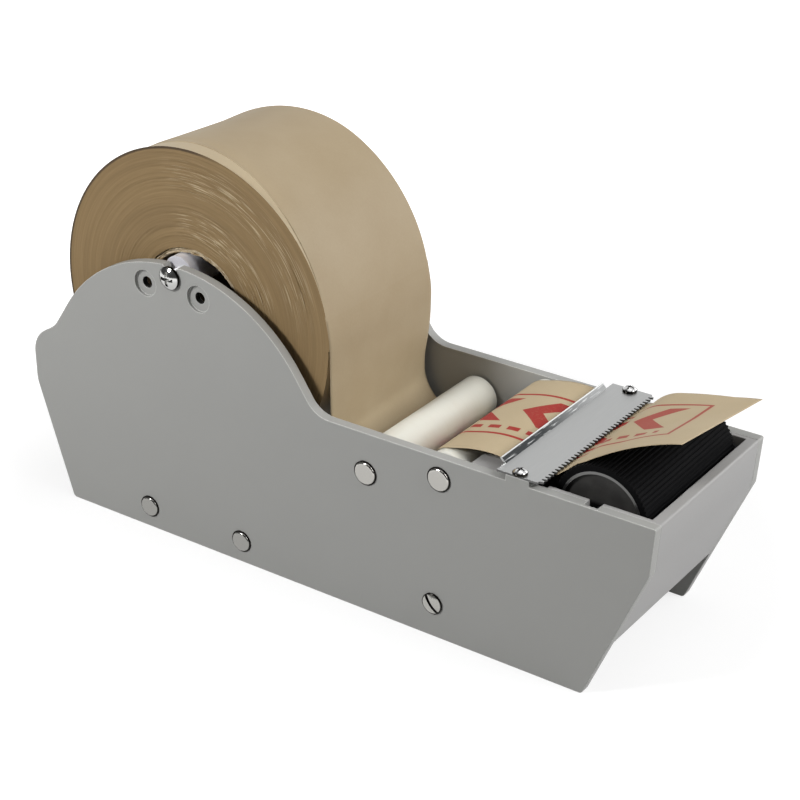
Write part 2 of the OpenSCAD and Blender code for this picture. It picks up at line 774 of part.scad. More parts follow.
side_plate_left();
side_plate_right();
water_trough();
cutter_blade();
blade_screws();
rear_tie_rod();
middle_tie_rod();
front_tie_rod();
tie_rod_caps();
front_rod_screws();
rear_guide_axle();
front_guide_axle();
axle_caps();
rear_guide_roller();
rear_guide_bushes();
front_guide_roller();
front_guide_bushes();
wetting_sleeve();
wetting_drum();
wetting_discs();
wetting_shaft();
spindle_tube();
spindle_plugs();
spindle_screws();
roll_core();
tape_roll();
tape_web();
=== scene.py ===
import json
import math

import bmesh
import bpy
import numpy as np
from mathutils import Matrix, Vector

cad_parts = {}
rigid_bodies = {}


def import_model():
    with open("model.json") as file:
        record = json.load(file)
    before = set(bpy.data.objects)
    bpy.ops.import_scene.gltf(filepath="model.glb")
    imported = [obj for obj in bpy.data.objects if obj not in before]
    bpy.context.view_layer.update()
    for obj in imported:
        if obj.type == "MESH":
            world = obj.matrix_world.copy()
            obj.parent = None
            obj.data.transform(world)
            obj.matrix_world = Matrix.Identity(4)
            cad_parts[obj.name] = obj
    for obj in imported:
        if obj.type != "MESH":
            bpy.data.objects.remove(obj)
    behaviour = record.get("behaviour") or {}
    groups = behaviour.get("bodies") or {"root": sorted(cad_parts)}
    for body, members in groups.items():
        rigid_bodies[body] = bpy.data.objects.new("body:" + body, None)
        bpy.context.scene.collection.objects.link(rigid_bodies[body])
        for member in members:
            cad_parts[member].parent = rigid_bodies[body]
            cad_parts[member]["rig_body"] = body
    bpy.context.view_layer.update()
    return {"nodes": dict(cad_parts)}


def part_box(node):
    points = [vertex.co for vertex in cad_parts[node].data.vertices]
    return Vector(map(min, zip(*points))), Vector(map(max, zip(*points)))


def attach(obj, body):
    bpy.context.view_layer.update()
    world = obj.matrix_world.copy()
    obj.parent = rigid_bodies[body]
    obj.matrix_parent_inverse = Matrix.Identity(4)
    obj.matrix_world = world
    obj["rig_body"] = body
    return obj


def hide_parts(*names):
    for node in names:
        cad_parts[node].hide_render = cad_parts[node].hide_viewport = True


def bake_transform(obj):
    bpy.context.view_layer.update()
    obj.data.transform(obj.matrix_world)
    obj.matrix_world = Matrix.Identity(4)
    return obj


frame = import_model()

MM = 0.001


# Side plates
# Two plates of matt grey plastic stand on edge and carry everything between them.
# They are moulded in one piece each, with eased edges and a fine grain from the mould.

class Wire:
    """A socket in a material's node tree. Arithmetic on it adds Math nodes."""

    def __init__(self, tree, socket=None):
        self.tree = tree
        self.socket = socket

    def node(self, kind, settings=None, inputs=None, out=0):
        """Adds a node of a kind, sets it up, feeds its sockets and gives one of its outputs."""
        made = self.tree.nodes.new("ShaderNode" + kind)
        for name, value in (settings or {}).items():
            setattr(made, name, value)
        for name, value in (inputs or {}).items():
            if isinstance(value, Wire):
                self.tree.links.new(value.socket, made.inputs[name])
            else:
                made.inputs[name].default_value = value
        return Wire(self.tree, made.outputs[out] if made.outputs else None)

    def math(self, operation, *values):
        return self.node("Math", {"operation": operation}, dict(enumerate(values)))

    def __add__(self, other):
        return self.math("ADD", self, other)

    def __radd__(self, other):
        return self.math("ADD", other, self)

    def __sub__(self, other):
        return self.math("SUBTRACT", self, other)

    def __rsub__(self, other):
        return self.math("SUBTRACT", other, self)

    def __mul__(self, other):
        return self.math("MULTIPLY", self, other)

    def __rmul__(self, other):
        return self.math("MULTIPLY", other, self)

    def __truediv__(self, other):
        return self.math("DIVIDE", self, other)

    def __abs__(self):
        return self.math("ABSOLUTE", self)

    def __mod__(self, other):
        return self.math("FLOORED_MODULO", self, other)

    def __pow__(self, other):
        return self.math("POWER", self, other)

    def clamped(self):
        """The value held between 0 and 1."""
        return self.node("Clamp", {}, {"Value": self})


def paint(red, green, blue):
    """A colour given in screen values of 0 to 255, as the linear colour that a shader takes."""
    share = np.array([red, green, blue]) / 255
    linear = np.where(share <= 0.04045, share / 12.92, ((share + 0.055) / 1.055) ** 2.4)
    return (*linear.tolist(), 1.0)


def finish(name, look):
    """A material whose main shader takes the constants and wires that look(start) gives."""
    made = bpy.data.materials.new(name)
    made.use_nodes = True
    made.node_tree.nodes.clear()
    start = Wire(made.node_tree)
    surface = start.node("BsdfPrincipled", {}, look(start))
    start.node("OutputMaterial", {}, {"Surface": surface})
    return made


def place(start):
    """The point on the piece, in the piece's own metres."""
    return start.node("TexCoord", {}, {}, "Object")


def part_of(at, axis):
    """One coordinate of a point."""
    return at.node("SeparateXYZ", {}, {"Vector": at}, axis)


def cloudy(at, size, detail=2.0, stretch=(1, 1, 1)):
    """Soft noise from 0 to 1 with spots of a size, drawn out along an axis by stretch."""
    scale = [1 / (size * s) for s in stretch]
    spread = at.node("Mapping", {}, {"Vector": at, "Scale": scale})
    return at.node("TexNoise", {}, {"Vector": spread, "Scale": 1.0, "Detail": detail})


def mixed(share, first, second):
    """A colour between two, by a share."""
    return share.node("Mix", {"data_type": "RGBA"}, {0: share, 6: first, 7: second}, 2)


def relief(height, depth, normal=None):
    """A normal tilted by a height field of a depth in metres."""
    inputs = {"Height": height, "Distance": depth, "Strength": 1.0}
    if normal:
        inputs["Normal"] = normal
    return height.node("Bump", {}, inputs)


def moulded_grey(name, colour, worn, edge, shaded_bores=(0, 0, 0, 0)):
    """Matt moulded plastic: slow clouds of tone, a fine grain and edges that are paler, partly rubbed wear
    and partly a painted highlight. A pair of bores across the plates is painted dark as shade inside the
    holes: middle, height, offset to each side and radius."""
    def look(start):
        at = place(start)
        clouds = cloudy(at, 60 * MM, 3)
        grain = cloudy(at, 0.7 * MM, 2)
        rub = cloudy(at, 4 * MM, 4)
        eased = start.node("Bevel", {"samples": 6}, {"Radius": edge})
        facing = start.node("NewGeometry", {}, {}, "Normal")
        lean = start.node("VectorMath", {"operation": "DOT_PRODUCT"}, {0: eased, 1: facing}, "Value")
        # Paler edges: partly rubbed wear, partly a painted highlight along the rims.
        rubbed_and_highlit_edges = ((1 - lean) * 14 * (rub + 0.25)).clamped()
        tone = mixed((clouds - 0.3).clamped(), tuple(c * 0.94 for c in colour[:3]) + (1,), colour)
        # Inside the bores the colour is painted dark, as shade in the holes.
        x = abs(part_of(at, "X") - shaded_bores[0]) - shaded_bores[2]
        z = part_of(at, "Z") - shaded_bores[1]
        bore_shade = ((shaded_bores[3] - (x * x + z * z) ** 0.5) / (0.1 * MM)).clamped()
        tone = mixed(bore_shade, tone, paint(38, 38, 37))
        return {
            "Base Color": mixed(rubbed_and_highlit_edges, tone, worn),
            "Roughness": 0.42 + 0.12 * grain,
            "Normal": relief(grain, 0.012 * MM, eased),
            "Specular IOR Level": 0.4,
        }
    return finish(name, look)


def eased_copy(node, name, width, steps, moved=None):
    """A CAD node's shape as a new piece whose sharp edges are rounded by a width, once moved(points) has
    shifted its corners."""
    mesh = frame["nodes"][node].data.copy()
    if moved:
        at = np.empty(3 * len(mesh.vertices))
        mesh.vertices.foreach_get("co", at)
        mesh.vertices.foreach_set("co", moved(at.reshape(-1, 3)).ravel())
    shape = bmesh.new()
    shape.from_mesh(mesh)
    bpy.data.meshes.remove(mesh)
    bmesh.ops.remove_doubles(shape, verts=shape.verts, dist=0.005 * MM)
    bmesh.ops.dissolve_limit(
        shape, angle_limit=math.radians(0.5), verts=shape.verts, edges=shape.edges)
    sharp = [e for e in shape.edges if e.is_manifold and e.calc_face_angle(0) > math.radians(25)]
    bmesh.ops.bevel(
        shape, geom=sharp, offset=width, offset_type="OFFSET", segments=steps, profile=0.5,
        affect="EDGES", clamp_overlap=True)
    mesh = bpy.data.meshes.new(name)
    shape.to_mesh(mesh)
    shape.free()
    mesh.polygons.foreach_set("use_smooth", np.ones(len(mesh.polygons), bool))
    mesh.set_sharp_from_angle(angle=math.radians(32))
    piece = bpy.data.objects.new(name, mesh)
    bpy.context.scene.collection.objects.link(piece)
    piece.modifiers.new("even_shading", "WEIGHTED_NORMAL").keep_sharp = True
    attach(piece, frame["nodes"][node]["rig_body"])
    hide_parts(node)
    return piece


rim_corner = np.array([164.3, 88.0]) * MM
corner_reach = 2.4 * MM
corner_share = 0.4


def tight_corner(at):
    """Where the corners of the plates and the trough go: the round or bevel of the upper front corner
    shrinks towards its sharp point."""
    side = at[:, [0, 2]]
    near = np.linalg.norm(side - rim_corner, axis=1) < corner_reach
    tight = np.where(near[:, None], rim_corner + (side - rim_corner) * corner_share, side)
    return np.stack([tight[:, 0], at[:, 1], tight[:, 1]], -1)


plate_edge = 0.35 * MM
hump = (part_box("spindle_tube")[0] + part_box("spindle_tube")[1]) / 2
# The plates' edges are painted paler, partly as wear and partly as a highlight, and the spare holes are
# painted dark inside as shade.
spare_bore_shade = (hump.x, hump.z - 6.5 * MM, 15.2 * MM, 2.85 * MM)
plate_finish = moulded_grey(
    "plate_grey", paint(160, 160, 157), paint(212, 212, 208), 0.6 * MM, spare_bore_shade)
for side in ("left", "right"):
    plate = eased_copy(f"side_plate_{side}", f"{side}_plate", plate_edge, 2, tight_corner)
    plate.data.materials.append(plate_finish)


# Water trough
# An open box of the same plastic, set between the plates at the front.
# Its thick front wall closes the dispenser and its floor holds the water under the roller.

# Its edges are painted paler too, partly as wear and partly as a highlight.
trough_finish = moulded_grey("trough_grey", paint(161, 160, 159), paint(212, 211, 209), 0.6 * MM)
trough = eased_copy("water_trough", "trough", plate_edge, 2, tight_corner)
trough.data.materials.append(trough_finish)


# Feed table
# A shelf of the same plastic between the plates, close under the paper behind the blade.
# It meets the trough's rear edge and carries the paper on from the front roller.

def solid_mesh(name, points, faces, kinds):
    """A mesh from points and faces, with doubled points merged, open ends filled and faces turned out."""
    mesh = bpy.data.meshes.new(name)
    mesh.from_pydata(points, [], faces)
    mesh.polygons.foreach_set("material_index", kinds.astype(np.int32))
    shape = bmesh.new()
    shape.from_mesh(mesh)
    bmesh.ops.remove_doubles(shape, verts=shape.verts, dist=0.002 * MM)
    bmesh.ops.holes_fill(shape, edges=[e for e in shape.edges if e.is_boundary], sides=0)
    bmesh.ops.recalc_face_normals(shape, faces=shape.faces)
    shape.to_mesh(mesh)
    shape.free()
    mesh.polygons.foreach_set("use_smooth", np.ones(len(mesh.polygons), bool))
    mesh.set_sharp_from_angle(angle=math.radians(40))
    piece = bpy.data.objects.new(name, mesh)
    bpy.context.scene.collection.objects.link(piece)
    return piece


def grid_faces(rows, columns, closed_rows):
    """The four-sided faces of a grid of points numbered row by row."""
    row = np.arange(rows if closed_rows else rows - 1)[:, None]
    column = np.arange(columns - 1)[None, :]
    below = (row + 1) % rows
    corners = [row * columns + column, row * columns + column + 1,
               below * columns + column + 1, below * columns + column]
    return np.stack([np.broadcast_to(c, (len(row), columns - 1)) for c in corners], -1).reshape(-1, 4)


def rounded_bar(name, low, high, radius):
    """A bar across the plates: a rectangle with four rounded corners in side view, carried from the
    left plate to the right one."""
    corner = np.arange(4)[:, None]
    angle = np.radians(np.linspace(0, 90, 7)) + corner * np.pi / 2
    x = np.array([high.x, low.x, low.x, high.x])[:, None] + radius * np.array([-1, 1, 1, -1])[:, None]
    z = np.array([high.z, high.z, low.z, low.z])[:, None] + radius * np.array([-1, -1, 1, 1])[:, None]
    x = (x + radius * np.cos(angle)).reshape(-1, 1)
    z = (z + radius * np.sin(angle)).reshape(-1, 1)
    y = np.array([[low.y, high.y]])
    points = np.stack(np.broadcast_arrays(x, y, z), -1).reshape(-1, 3)
    faces = grid_faces(len(x), 2, True)
    return solid_mesh(name, points, faces, np.zeros(len(faces)))


table_l = 17 * MM
table_t = 2.6 * MM
table_round = 0.8 * MM
table_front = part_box("water_trough")[0].x
table_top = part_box("water_trough")[1].z - 1.0 * MM
plate_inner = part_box("side_plate_right")[0].y
table_low = Vector((table_front - table_l, -plate_inner, table_top - table_t))
table_high = Vector((table_front, plate_inner, table_top))
feed_table = rounded_bar("feed_table", table_low, table_high, table_round)
feed_table.data.materials.append(trough_finish)
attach(feed_table, "frame")


# Tie rods and axles
# Bright drawn steel bars hold the plates apart and carry the guide rollers.
# Drawing leaves fine lines along the bar.

def dress(names, material):
    """Gives CAD nodes a material."""
    for name in names:
        for holder in frame["nodes"][name].material_slots:
            holder.material = material


def drawn_steel(name, colour, rough, lines=(1, 40, 1)):
    """Bare steel with fine lines drawn out along one axis."""
    def look(start):
        at = place(start)
        drawn = cloudy(at, 0.25 * MM, 3, lines)
        smudge = cloudy(at, 18 * MM, 3)
        dull = tuple(c * 0.8 for c in colour[:3]) + (1,)
        return {
            "Base Color": mixed(drawn, dull, colour),
            "Metallic": 1.0,
            "Roughness": rough + 0.14 * drawn * smudge,
            "Normal": relief(drawn, 0.004 * MM),
        }
    return finish(name, look)


bar_steel = drawn_steel("drawn_bar", paint(190, 190, 190), 0.26)
dress(["rear_tie_rod", "middle_tie_rod", "front_tie_rod",
       "rear_guide_axle", "front_guide_axle", "wetting_shaft"], bar_steel)


# Caps and screws
# Round plated caps cover the ends of the rods and axles, slotted screws hold the front rod,
# and cross-head screws hold the spindle and the blade.
# The plating is bright, with fine scratches and dull spots.

def plated(name, colour, rough, axis, foot, shade_top):
    """Bright plating with fine scratches, and a dark band between two heights along the screw's axis:
    painted shade on the flange or flank and in the slot or cross."""
    def look(start):
        at = place(start)
        scratch = cloudy(at, 0.3 * MM, 4, (6, 1, 1))
        spots = cloudy(at, 5 * MM, 3)
        height = abs(part_of(at, axis))
        # Between the foot and the upper height the metal is painted dark as shade.
        out_of_shade = ((height - shade_top) / (0.06 * MM) + 0.5).clamped()
        out_of_shade = out_of_shade + ((foot - height) / (0.06 * MM)).clamped()
        tone = mixed(spots, tuple(c * 0.95 for c in colour[:3]) + (1,), colour)
        return {
            "Base Color": mixed(out_of_shade, paint(34, 33, 31), tone),
            "Metallic": 1.0,
            "Roughness": rough + 0.08 * spots * scratch,
            "Normal": relief(scratch, 0.0002 * MM),
        }
    return finish(name, look)


def turned_caps(name, node, radius, rise):
    """The caps of a node: a thin flange and on it a face with a rolled edge, a quarter of an ellipse,
    carried round each cap's axis on both plates."""
    flange = 0.55 * MM
    flange_rise = 0.3 * rise
    face_foot = 0.34 * rise
    roll = 0.9 * MM
    bend = np.linspace(0, np.pi / 2, 10)
    rolled = radius - flange - roll + roll * np.cos(bend)
    flat = np.linspace(rolled[-1], 0, 6)[1:]
    r = np.concatenate([[radius, radius, rolled[0]], rolled, flat])[:, None]
    rolled_out = face_foot + (rise - face_foot) * np.sin(bend)
    out = np.concatenate([[0, flange_rise, flange_rise], rolled_out, np.full(len(flat), rise)])[:, None]
    angle = np.linspace(0, 2 * np.pi, 65)
    low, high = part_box(node)
    cad_r = 6.1 * MM
    caps = []
    for x, z in ((low.x + cad_r, low.z + cad_r), (high.x - cad_r, high.z - cad_r)):
        for side in (-1, 1):
            ring = (x + r * np.cos(angle), side * (plate_face + out), z + r * np.sin(angle))
            caps.append(np.stack(np.broadcast_arrays(*ring), -1).reshape(-1, 3))
    one = grid_faces(len(r), len(angle), False)
    faces = np.concatenate([one + len(caps[0]) * i for i in range(len(caps))])
    piece = solid_mesh(name, np.concatenate(caps), faces, np.zeros(len(faces)))
    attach(piece, "frame")
    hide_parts(node)
    return piece


plate_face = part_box("side_plate_right")[1].y
cap_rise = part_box("axle_caps")[1].y - plate_face
# The caps are painted dark below this height, as shade round the flange.
cap_shade_top = plate_face + 0.4 * cap_rise
axle_caps = turned_caps("round_axle_caps", "axle_caps", 5.75 * MM, cap_rise)
axle_caps.data.materials.append(
    plated("axle_cap_plating", paint(178, 176, 171), 0.14, "Y", plate_face, cap_shade_top))
rod_caps = turned_caps("round_rod_caps", "tie_rod_caps", 5.35 * MM, cap_rise)
rod_caps.data.materials.append(
    plated("rod_cap_plating", paint(154, 153, 149), 0.14, "Y", plate_face, cap_shade_top))
slotted = eased_copy("front_rod_screws", "slotted_screws", 0.08 * MM, 1)
slot_low, slot_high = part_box("front_rod_screws")
slot_axis = Matrix.Translation((slot_low + slot_high) / 2)
slot_head = 0.88
slot_turn = Matrix.Rotation(math.radians(90), 4, "Y") @ Matrix.Diagonal((slot_head, 1, slot_head, 1))
slotted.data.transform(slot_axis @ slot_turn @ slot_axis.inverted())
# The screw heads are painted dark below a height over their seat, as shade on the flank and in the slot or
# cross.
slotted.data.materials.append(
    plated("slot_screw_plating", paint(172, 171, 166), 0.2, "Y", plate_face, plate_face + 0.85 * MM))
cross_metal = plated(
    "spindle_screw_plating", paint(188, 188, 186), 0.1, "Y", plate_face, plate_face + 1.5 * MM)
dress(["spindle_screws"], cross_metal)

domed_low, domed_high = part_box("blade_screws")
head_h = 2.24 * MM
head_r = 2.8 * MM
head_growth = 1.16
head_seat = domed_high.z - head_h


def grown_heads(at):
    """Where the blade screws' corners go: the heads grow about their own axes."""
    x = np.full(len(at), (domed_low.x + domed_high.x) / 2)
    y = np.sign(at[:, 1]) * (domed_high.y - head_r)
    middle = np.stack([x, y, np.full(len(at), head_seat)], -1)
    on_head = at[:, 2:] > head_seat - 0.01 * MM
    return middle + (at - middle) * np.where(on_head, [head_growth, head_growth, 1.0], 1.0)


domed = eased_copy("blade_screws", "domed_screws", 0.04 * MM, 1, grown_heads)
domed.data.materials.append(
    plated("blade_screw_plating", paint(206, 206, 206), 0.1, "Z", head_seat, domed_high.z - 1.1 * MM))


# Guide rollers
# Two off-white plastic tubes turn on the steel axles, with plain bushes in their ends.
# The paper leaves them faintly polished and marked with brown dust in rings.

def roller_plastic(name, colour, dust):
    """Waxy plastic with faint rings of dust round the roller."""
    def look(start):
        at = place(start)
        rings = cloudy(at, 1.5 * MM, 3, (30, 1, 30))
        clouds = cloudy(at, 12 * MM, 3)
        marked = (rings * clouds * 0.5 - 0.12).clamped()
        return {
            "Base Color": mixed(marked, colour, dust),
            "Roughness": 0.4 + 0.08 * rings,
            "Normal": relief(rings, 0.002 * MM),
            "Subsurface Weight": 0.3,
            "Subsurface Radius": (0.006, 0.0055, 0.005),
        }
    return finish(name, look)


roller_ivory = roller_plastic("roller_ivory", paint(214, 213, 203), paint(190, 181, 162))
dress(["rear_guide_roller", "front_guide_roller"], roller_ivory)
bush_ivory = roller_plastic("bush_ivory", paint(206, 203, 190), paint(170, 160, 140))
dress(["rear_guide_bushes", "front_guide_bushes"], bush_ivory)


# Wetting roller
# A ribbed black rubber sleeve on a steel drum, closed by dark discs, turns in the water.
# Dust and dried gum lie on the rubber in faint streaks.

def black_rubber(start):
    """Rubber with fine pits and dusty streaks."""
    at = place(start)
    pits = cloudy(at, 0.4 * MM, 3)
    dust = cloudy(at, 7 * MM, 4, (1, 5, 1))
    return {
        "Base Color": mixed((dust - 0.4).clamped(), paint(5, 5, 6), paint(18, 18, 20)),
        "Roughness": 0.6 + 0.2 * pits,
        "Normal": relief(pits, 0.02 * MM),
        "Specular IOR Level": 0.07,
    }


def dark_disc(start):
    """Dark moulded plastic with a faint grain and dried water marks."""
    at = place(start)
    grain = cloudy(at, 0.6 * MM, 2)
    marks = cloudy(at, 6 * MM, 4)
    return {
        "Base Color": mixed((marks - 0.4).clamped(), paint(44, 43, 42), paint(74, 72, 70)),
        "Roughness": 0.5 + 0.2 * grain,
        "Normal": relief(grain, 0.015 * MM),
        "Specular IOR Level": 0.3,
    }


dress(["wetting_sleeve"], finish("black_rubber", black_rubber))
dress(["wetting_discs"], finish("dark_disc", dark_disc))
dress(["wetting_drum"], drawn_steel("drum_steel", paint(118, 118, 117), 0.34))


# Cutter blade
# A strip of satin stainless steel with punched teeth and a lip turned up at the back.
# It is screwed down on a tab of each plate and is ground along its length.

blade_low, blade_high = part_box("cutter_blade")
blade_t = 1 * MM
blade_top = blade_low.z + blade_t
cad_lip_back = 2 * MM
cad_lip_inset = 3 * MM
blade_back = blade_low.x + cad_lip_back
lip_angle = math.radians(47)
lip_l = 3.7 * MM
lip_half = blade_high.y - 6.2 * MM


def lip_laid_back(at):
    """Where the blade's corners go: the lip's top edge to a flatter and shorter lip, and the lip's
    ends further in from the blade's ends. Of the top edge's two lines the higher one is the inside."""
    x, y, z = at.T
    up = z - blade_low.z
    at_back = x < blade_back + 0.9 * MM
    lip_end = at_back & (abs(abs(y) - blade_high.y + cad_lip_inset) < 0.3 * MM)
    y = np.where(lip_end, np.sign(y) * lip_half, y)
    on_lip = up > 1.3 * MM
    on_inside = up > 3.7 * MM
    inner = np.where(on_inside, blade_t, 0)
    x = np.where(on_lip, blade_back - lip_l * math.cos(lip_angle) + inner * math.sin(lip_angle), x)
    z = np.where(on_lip, blade_low.z + lip_l * math.sin(lip_angle) + inner * math.cos(lip_angle), z)
    return np.stack([x, y, z], -1)


def satin_blade(start):
    """Ground stainless steel with dull sheared edges. Dark streaks lie on the inside of the lip, partly
    gum and dust and partly a painted dark reflection, stronger towards the near end; the lip is found by
    its height above the blade and by its normal towards the teeth."""
    at = place(start)
    ground = cloudy(at, 0.25 * MM, 3, (1, 60, 1))
    smudge = cloudy(at, 14 * MM, 3)
    up = part_of(at, "Z") - blade_top
    normal = start.node("NewGeometry", {}, {}, "True Normal")
    lip_h = lip_l * math.sin(lip_angle) + blade_t * math.cos(lip_angle) - blade_t
    lip = ((up + 0.05 * MM) / (0.05 * MM)).clamped() * ((lip_h - 0.25 * MM - up) / (0.2 * MM)).clamped()
    lip = lip * ((part_of(normal, "X") - 0.3) * 9).clamped()
    cut = ((0.5 - abs(part_of(normal, "Z"))) * 6).clamped() * (1 - up / (0.2 * MM)).clamped()
    streak = cloudy(at, 1.4 * MM, 3, (0.5, 7, 0.5))
    near = 1 - 0.4 * ((part_of(at, "Y") + 10 * MM) / (40 * MM)).clamped()
    # Dark streaks on the lip's inside: partly gum and dust, partly a painted dark reflection.
    stain_and_reflection = lip * ((streak - 0.3) * 7).clamped() * near
    steel = mixed(ground, paint(168, 169, 169), paint(182, 183, 182))
    steel = mixed(cut, steel, paint(104, 104, 103))
    return {
        "Base Color": mixed(stain_and_reflection, steel, paint(44, 46, 47)),
        "Metallic": 1.0,
        "Roughness": 0.34 + 0.1 * ground * smudge + 0.2 * cut,
        "Normal": relief(ground, 0.003 * MM),
    }


blade = eased_copy("cutter_blade", "toothed_blade", 0.03 * MM, 1, lip_laid_back)
blade.data.materials.append(finish("satin_blade", satin_blade))


# Spindle
# A polished aluminium tube hangs in the slots of the two humps by a screw at each end.
# The core of the paper roll hangs on it.

def satin_tube(start):
    """Polished aluminium: pale, with a soft sheen and fine lines along the tube."""
    at = place(start)
    drawn = cloudy(at, 0.3 * MM, 3, (1, 40, 1))
    return {
        "Base Color": mixed(drawn, paint(222, 221, 228), paint(240, 239, 244)),
        "Metallic": 0.35,
        "Roughness": 0.38 + 0.1 * drawn,
        "Normal": relief(drawn, 0.002 * MM),
    }


dress(["spindle_tube", "spindle_plugs"], finish("satin_tube", satin_tube))


# Paper roll
# Gummed kraft paper wound on a board core. The layers stand out unevenly on both faces,
# and the two outermost turns have slipped to the right across the top.

roll_low, roll_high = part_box("tape_roll")
roll_x = (roll_low.x + roll_high.x) / 2
roll_z = (roll_low.z + roll_high.z) / 2
roll_r = (roll_high.z - roll_low.z) / 2
roll_half = roll_high.y
core_low, core_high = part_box("roll_core")
core_r = (core_high.z - core_low.z) / 2
core_half = core_high.y
shown_turns = 64
ledge_share = 0.86
turn_columns = 240
random = np.random.default_rng(7)


def eased_step(x, low, high):
    """0 below low, 1 above high and a smooth S between."""
    t = np.clip((x - low) / (high - low), 0, 1)
    return t * t * (3 - 2 * t)


def wander(turn, knots):
    """A random value along a winding: random knots, several to a turn, joined by eased steps."""
    per_turn = 16
    at = turn * per_turn
    first = np.floor(at).astype(int)
    share = eased_step(at - first, 0, 1)
    return knots[first] * (1 - share) + knots[first + 1] * share


def wound_face(turn, r, angle):
    """How deep the edge of each layer lies below the roll's face: a little everywhere, and up to half
    a millimetre where the layers are loose, in two bands over the upper front of the roll."""
    knots = random.normal(size=(shown_turns + 4) * 16)
    band = 0.07 * np.exp(-((r - 0.063) / 0.006) ** 2) + 0.07 * np.exp(-((r - 0.040) / 0.006) ** 2)
    loose = 0.02 + band * eased_step(angle, 4.3, 4.8) * (1 - eased_step(angle, 5.9, 6.2))
    return np.clip(0.28 + loose * wander(turn, knots), 0.02, 0.9) * MM


def wound_roll():
    """The winding as a closed outline carried round the axis while its radius grows by one layer a turn:
    up the left face in ledges, across the outside, down the right face and back through the bore.
    Over the top the last two turns have slipped to the right, each a step above the one below it.
    The upper rear has sunk a little towards the right, where the turns are slack."""
    layer = (roll_r - core_r) / (shown_turns + ledge_share)
    start = np.repeat(np.arange(shown_turns), 2) + np.tile([0, ledge_share], shown_turns)
    level = np.repeat(np.arange(shown_turns), 2)
    angle = np.linspace(0, 2 * np.pi, turn_columns + 1)
    share = angle / (2 * np.pi)
    r = core_r + layer * (start[:, None] + share)
    r[0] = core_r
    turn = level[:, None] + share
    left = -roll_half + wound_face(turn, r, angle)
    right = roll_half - wound_face(turn, r, angle)

    slip_top = 16 * MM
    second_top = 4.5 * MM
    slip = slip_top * eased_step(angle, 1.0, 3.0) * (1 - eased_step(angle, 3.6, 6.2))
    second = second_top * eased_step(angle, 1.2, 3.2) * (1 - eased_step(angle, 3.8, 6.25))
    paper_step = 0.28 * MM
    bare = np.linspace(0.02, 0.98, 5)[:, None]
    wrapped = np.linspace(0.01, 0.99, 14)[:, None]
    seam = left[-1] + slip
    last = seam + 0.05 * MM + second
    bare_y = left[-1] + (seam - left[-1]) * bare
    between_y = seam + 0.05 * MM + (last - seam) * bare
    over_y = last + 0.1 * MM + (right[-1] - last) * wrapped
    drop_one = paper_step * eased_step(second, 0, 1 * MM)
    drop_two = drop_one + paper_step * eased_step(slip, 0, 1 * MM)
    bare_r = np.broadcast_to(r[-1] - drop_two, bare_y.shape)
    between_r = np.broadcast_to(r[-1] - drop_one, between_y.shape)
    over_r = np.broadcast_to(r[-1], over_y.shape)

    bore_shade = np.linspace(0.02, 0.98, 6)[:, None]
    bore_y = right[0] + (left[0] - right[0]) * bore_shade
    bore_r = np.broadcast_to(r[0], bore_y.shape)
    y = np.concatenate([left, bare_y, between_y, over_y, right[::-1], bore_y])
    radius = np.concatenate([r, bare_r, between_r, over_r, r[::-1], bore_r])
    sink = 3.6 * MM
    slack = eased_step(angle, 3.0, 4.0) * (1 - eased_step(angle, 4.2, 5.2))
    sunk = sink * np.clip((y + roll_half) / (1.6 * roll_half), 0, 1) ** 0.8 * slack
    radius = radius - sunk * (radius / roll_r) ** 3
    points = np.stack([roll_x + radius * np.cos(angle), y, roll_z - radius * np.sin(angle)], -1)
    rows = len(y)
    faces = grid_faces(rows, turn_columns + 1, True)
    kinds = np.ones(rows)
    first = len(left) - 1
    kinds[first:first + 2 * len(bare) + len(wrapped) + 1] = 0
    kinds[first:first + len(bare)] = 2
    kinds = np.repeat(kinds, turn_columns)
    return solid_mesh("paper_roll_winding", points.reshape(-1, 3), faces, kinds)


kraft_brown = paint(168, 152, 125)
kraft_dark = paint(152, 134, 104)
# The uncovered turn's paler tone is painted light on the same paper.
kraft_lit_pale = paint(186, 170, 141)
print_red = paint(146, 22, 6)


def kraft_tone(at, dark, light):
    """Kraft paper's colour between two: fibres drawn out round the roll and slow clouds."""
    fibre = cloudy(at, 0.6 * MM, 5, (2, 1, 2))
    clouds = cloudy(at, 30 * MM, 3)
    return mixed((fibre * 0.6 + clouds * 1.1 - 0.4).clamped(), dark, light), fibre


def printed(way, away, worn):
    """How much red there is at a point of the paper, by its way across and its distance from the cut end:
    a frame of two long rules and end rules, a row of chevrons and a row of short bars, slightly worn."""
    edge = 0.15 * MM

    def within(value, middle, half):
        return ((half - abs(value - middle)) / edge + 0.5).clamped()

    half_l = 74.5 * MM
    middle_l = 15 * MM + half_l
    half_w = 21 * MM
    middle_w = 38 * MM
    rule = 0.8 * MM
    margin = 8 * MM
    rules = within(abs(way - middle_w), half_w, rule) * within(away, middle_l, half_l)
    ends = within(abs(away - middle_l), half_l, rule) * within(way, middle_w, half_w + rule)

    pitch = 27 * MM
    row = 42 * MM
    slant = (away + abs(way - row)) % pitch
    chevrons = within(slant, pitch / 2, 5 * MM) * within(way, row, 12.5 * MM)
    bar_pitch = 9 * MM
    bar_row = 23.5 * MM
    bars = within(away % bar_pitch, bar_pitch / 2, 2.8 * MM) * within(way, bar_row, 1.6 * MM)
    filled = within(away, middle_l, half_l - margin)
    whole = (rules + ends + (chevrons + bars) * filled).clamped()
    return whole * (1.3 - worn * 0.6).clamped()


